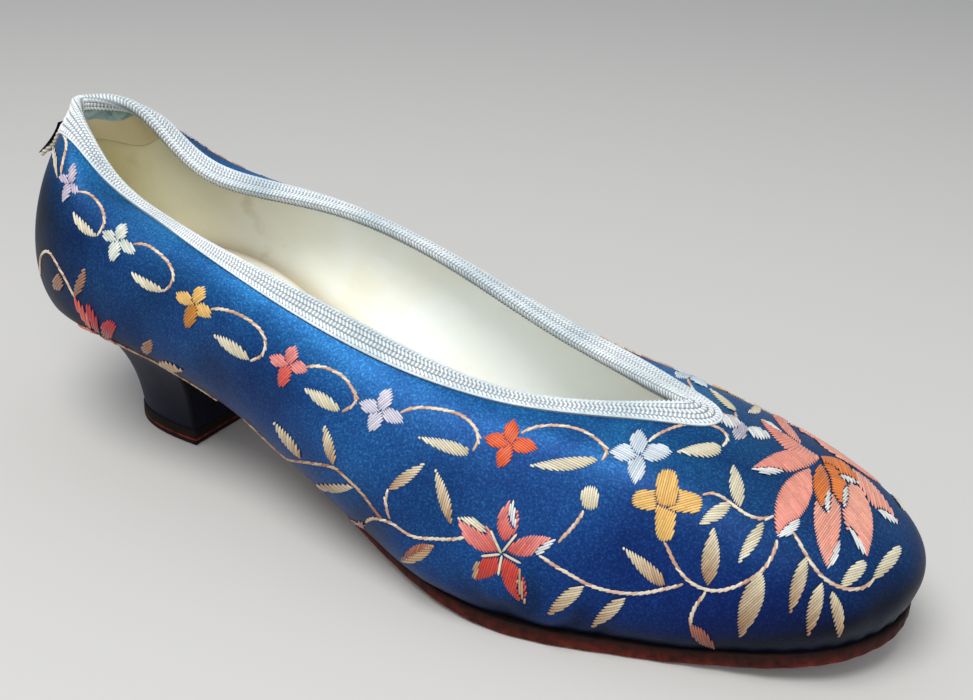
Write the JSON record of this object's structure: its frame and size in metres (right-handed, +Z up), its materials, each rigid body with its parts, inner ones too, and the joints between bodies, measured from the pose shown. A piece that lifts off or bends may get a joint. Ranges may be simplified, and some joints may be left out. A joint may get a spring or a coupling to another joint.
{
  "type": "embroidered heeled shoe",
  "caption": "Low-cut satin slip-on shoe with floral embroidery, a braid-bound collar that dips to a throat point, a covered curved heel and a thin leather sole.",
  "frame": {"origin": "middle of the bounding box on the floor that the shoe stands on", "axes": "+X from the heel to the toe, +Y to the wearer's left, +Z up"},
  "size_m": [0.2404, 0.0802, 0.0837],
  "materials": {
    "satin": "glossy woven satin with coloured silk embroidery",
    "dark_satin": "near black satin",
    "braid": "matt herringbone braid",
    "ribbon": "stained pale ribbon",
    "sock": "worn cream cotton",
    "sole_leather": "scuffed brown sole leather"
  },
  "bodies": {
    "root": {"upper": "satin", "collar_binding": "braid", "collar_facing": "ribbon", "back_tab": "dark_satin", "insole": "sock", "outsole": "sole_leather", "heel": "dark_satin", "heel_top_piece": "sole_leather"}
  },
  "joints": []
}
